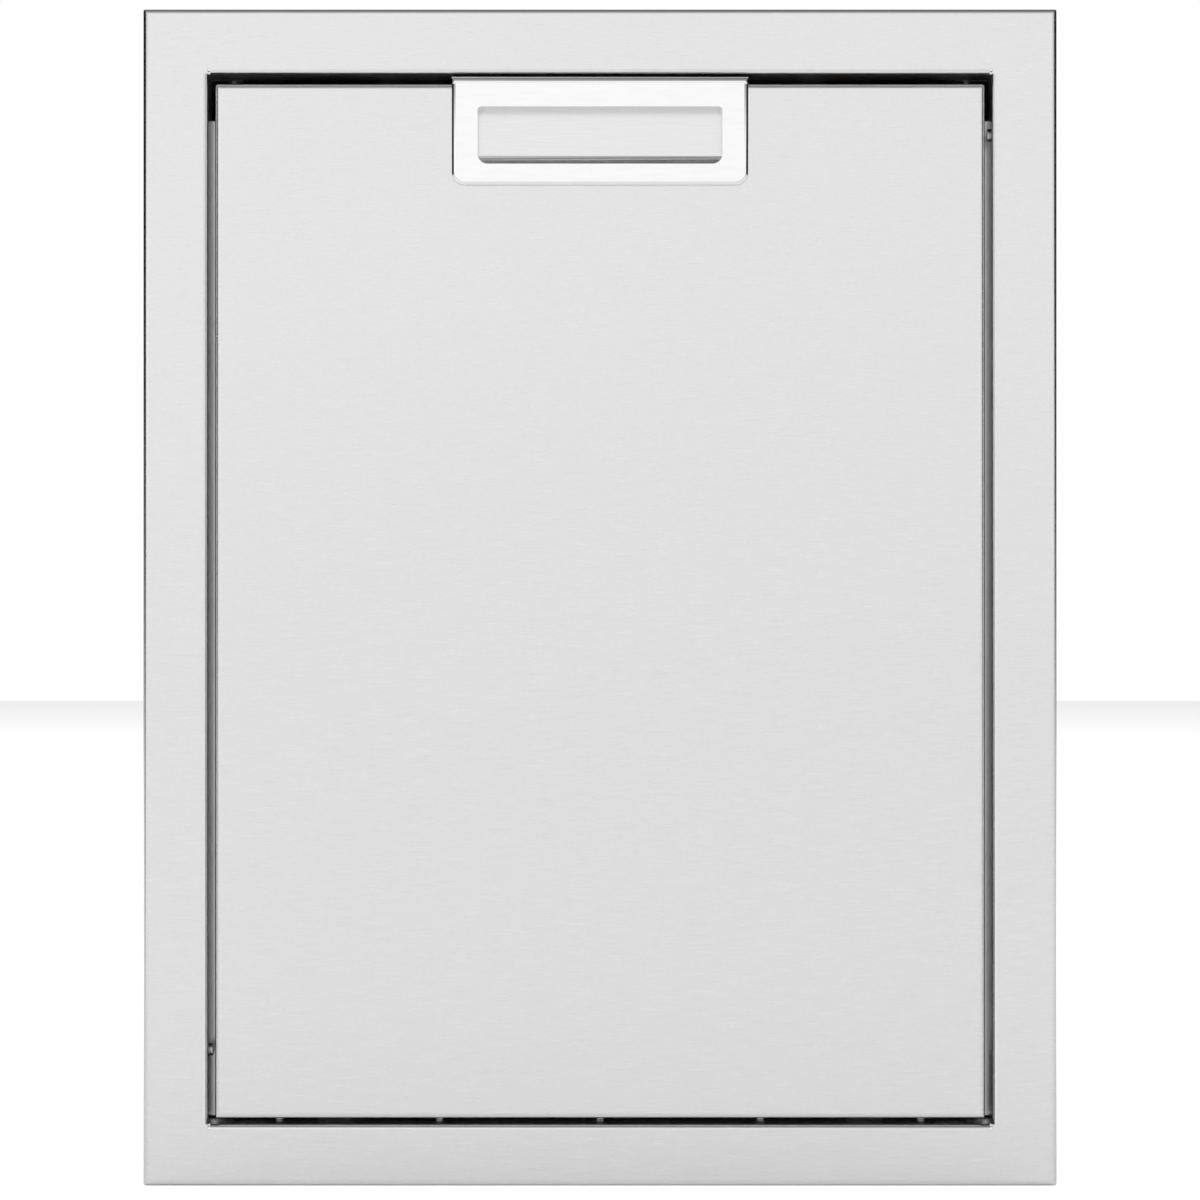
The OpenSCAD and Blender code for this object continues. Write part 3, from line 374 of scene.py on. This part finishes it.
def lens(name, color):
    paint = Paint(name, color, 0.0, 0.12, Coat_Weight=0.6, Transmission_Weight=0.35)
    facets = paint.noise((900, 900, 900), detail=1.0)
    paint.tint(facets, tuple(c * 0.8 for c in color), color)
    paint.bump(facets, 0.00003)
    return paint.material


def make_materials():
    """One material for each slot of the record."""
    return {
        "frame_steel": brushed_steel("frame_steel", 0.845, 0.24),
        "front_steel": brushed_steel("front_steel", 0.84, 0.24),
        "polished_steel": polished_steel("polished_steel"),
        "pocket_steel": brushed_steel("pocket_steel", 0.82, 0.16),
        "zinc_sheet": zinc_sheet("zinc_sheet"),
        "machined_steel": machined_steel("machined_steel"),
        "gear_steel": gear_steel("gear_steel"),
        "bronze": bronze("bronze"),
        "motor_paint": enamel("motor_paint", (0.035, 0.04, 0.045)),
        "foam_rubber": rubber("foam_rubber", grain=1600),
        "black_rubber": rubber("black_rubber", grain=700),
        "black_plastic": moulding("black_plastic", (0.022, 0.022, 0.024), 0.01),
        "grey_plastic": moulding("grey_plastic", (0.58, 0.58, 0.55), 0.04),
        "nylon": moulding("nylon", (0.72, 0.70, 0.64), 0.04, 0.42, 800),
        "bin_plastic": moulding("bin_plastic", (0.035, 0.037, 0.04), 0.012, 0.48, 1100),
        "button_red": moulding("button_red", (0.42, 0.012, 0.01), 0.03, 0.22, 500),
        "lens_green": lens("lens_green", (0.05, 0.5, 0.14)),
    }


# ---------------------------------------------------------------- pieces

def add_piece(name, verts, faces, material, body, nodes, smooth_angle=35):
    """A mesh piece that stands for CAD nodes, in the part's frame, riding on a body."""
    mesh = bpy.data.meshes.new(name)
    mesh.from_pydata(verts, [], faces)
    mesh.materials.append(material)
    mesh.validate()
    work = bmesh.new()
    work.from_mesh(mesh)
    bmesh.ops.remove_doubles(work, verts=work.verts, dist=0.000002)
    bmesh.ops.recalc_face_normals(work, faces=work.faces)
    for face in work.faces:
        face.smooth = True
    for edge in work.edges:
        if len(edge.link_faces) == 2 and edge.calc_face_angle(0) > math.radians(smooth_angle):
            edge.smooth = False
    work.to_mesh(mesh)
    work.free()
    piece = bpy.data.objects.new(name, mesh)
    scene.collection.objects.link(piece)
    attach(piece, body)
    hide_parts(*nodes)
    return piece


def rounded_loop(half_x, half_y, radius, center, z, steps=10):
    """Points round a rectangle with rounded corners, at one height."""
    points = []
    for quarter, (sx, sy) in enumerate(((1, 1), (-1, 1), (-1, -1), (1, -1))):
        for k in range(steps + 1):
            angle = math.radians(90) * (quarter + k / steps)
            points.append((center[0] + sx * (half_x - radius) + radius * math.cos(angle),
                           center[1] + sy * (half_y - radius) + radius * math.sin(angle), z))
    return points


def skin(loops):
    """Faces between loops of equal length, in order, with both ends closed."""
    count = len(loops[0])
    faces = []
    for i in range(len(loops) - 1):
        for k in range(count):
            n = (k + 1) % count
            faces.append((i * count + k, i * count + n, (i + 1) * count + n, (i + 1) * count + k))
    faces.append(tuple(range(count)))
    faces.append(tuple((len(loops) - 1) * count + k for k in range(count)))
    return faces


def add_box(verts, faces, low, high):
    """Adds a closed box to a list of points and faces."""
    first = len(verts)
    verts += [(x, y, z) for z in (low[2], high[2]) for x, y in
              ((low[0], low[1]), (high[0], low[1]), (high[0], high[1]), (low[0], high[1]))]
    for corners in ((0, 1, 2, 3), (4, 5, 6, 7), (0, 1, 5, 4), (1, 2, 6, 5), (2, 3, 7, 6), (3, 0, 4, 7)):
        faces.append(tuple(first + c for c in corners))


BIN_RIM = 0.007              # the rim's overhang, outside the wall
BIN_TAPER = 0.010
BIN_WALL = 0.0025
BIN_CORNER = 0.034           # corner radius of the rim


def make_bin(material):
    """A moulded tub: a foot, a wall that leans in, and a turned-down rim on gussets."""
    low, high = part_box("bin")
    center = ((low.x + high.x) / 2, (low.y + high.y) / 2)
    half_x, half_y = (high.x - low.x) / 2, (high.y - low.y) / 2
    foot, top = low.z, high.z
    wall_radius = BIN_CORNER - BIN_RIM
    height = top - foot

    def loop(inset, z, radius):
        return rounded_loop(half_x - inset, half_y - inset, radius, center, z)

    def leaned(z):
        """How far the wall has leant in at a height."""
        return BIN_TAPER * (1 - (z - foot) / height)

    wall = BIN_RIM
    outside = [(wall + BIN_TAPER + 0.009, foot + 0.0025, wall_radius - 0.009),
               (wall + BIN_TAPER + 0.007, foot, wall_radius - 0.007),
               (wall + BIN_TAPER + 0.0035, foot, wall_radius - 0.0035),
               (wall + BIN_TAPER + 0.001, foot + 0.001, wall_radius - 0.001),
               (wall + BIN_TAPER, foot + 0.0035, wall_radius)]
    outside += [(wall + leaned(z), z, wall_radius) for z in (foot + 0.02, foot + 0.5 * height, top - 0.03)]
    outside += [(wall + leaned(top - 0.0045), top - 0.0045, wall_radius),
                (wall - 0.0015, top - BIN_WALL, wall_radius + 0.0015),
                (BIN_WALL + 0.001, top - BIN_WALL, BIN_CORNER - BIN_WALL - 0.001),
                (BIN_WALL, top - BIN_WALL - 0.001, BIN_CORNER - BIN_WALL),
                (BIN_WALL, top - 0.0134, BIN_CORNER - BIN_WALL),
                (BIN_WALL - 0.0007, top - 0.014, BIN_CORNER - BIN_WALL + 0.0007),
                (0.0007, top - 0.014, BIN_CORNER - 0.0007),
                (0.0, top - 0.0133, BIN_CORNER),
                (0.0, top - 0.0016, BIN_CORNER),
                (0.0005, top - 0.0005, BIN_CORNER - 0.0005),
                (0.0016, top, BIN_CORNER - 0.0016)]
    inner = wall + BIN_WALL
    inside = [(inner - 0.0016, top, wall_radius + 0.0016),
              (inner - 0.0004, top - 0.0005, wall_radius + 0.0004),
              (inner + leaned(top - 0.002), top - 0.002, wall_radius)]
    inside += [(inner + leaned(z), z, wall_radius) for z in (top - 0.03, foot + 0.5 * height, foot + 0.02)]
    inside += [(inner + BIN_TAPER, foot + 0.0065, wall_radius),
               (inner + BIN_TAPER + 0.0012, foot + 0.0037, wall_radius - 0.0012),
               (inner + BIN_TAPER + 0.004, foot + BIN_WALL, wall_radius - 0.004)]
    loops = [loop(*step) for step in outside + inside]
    verts = [point for points in loops for point in points]
    faces = skin(loops)

    for side in (-1, 1):                     # gussets under the rim
        for i in range(-4, 5):
            x, y = center[0] + i * 0.036, center[1] + side * half_y
            inner_y, outer_y = sorted((y - side * (wall + 0.0012), y - side * (BIN_WALL - 0.0002)))
            add_box(verts, faces, (x - 0.001, inner_y, top - 0.012), (x + 0.001, outer_y, top - 0.002))
            x, y = center[0] + side * half_x, center[1] + i * 0.034
            inner_x, outer_x = sorted((x - side * (wall + 0.0012), x - side * (BIN_WALL - 0.0002)))
            add_box(verts, faces, (inner_x, y - 0.001, top - 0.012), (outer_x, y + 0.001, top - 0.002))
    return add_piece("bin_tub", verts, faces, material, "drawer", ["bin"])


# ---------------------------------------------------------------- CAD nodes

EDGE = 0.0004                # the usual break on a part's edges
THIN_NODES = ("face_frame", "handle_pocket")
SHARP_NODES = ("front_panel", "side_panel_left", "side_panel_right", "top_panel", "base_pan", "rear_panel",
               "side_plate_left", "side_plate_right")


def soften(node, width=EDGE, segments=2):
    """Breaks a CAD node's sharp edges, so that they catch the light."""
    obj = frame["nodes"][node]
    weld = obj.modifiers.new("weld", "WELD")
    weld.merge_threshold = 0.000001
    bevel = obj.modifiers.new("edge", "BEVEL")
    bevel.width = width
    bevel.segments = segments
    bevel.limit_method = "ANGLE"
    bevel.angle_limit = math.radians(40)
    bevel.harden_normals = True
    bevel.use_clamp_overlap = True


def dress_nodes(materials):
    """Gives every CAD node the material of its slot."""
    for part in frame["record"]["subparts"]:
        obj = frame["nodes"][part["node"]]
        obj.data.materials.clear()
        obj.data.materials.append(materials[part["material_slot"]])


make_studio()
paints = make_materials()
dress_nodes(paints)
make_bin(paints["bin_plastic"])
for node_name in frame["nodes"]:
    if node_name not in SHARP_NODES:     # these are plain sheets, or have their folds in the CAD
        soften(node_name, EDGE / 2 if node_name in THIN_NODES else EDGE)
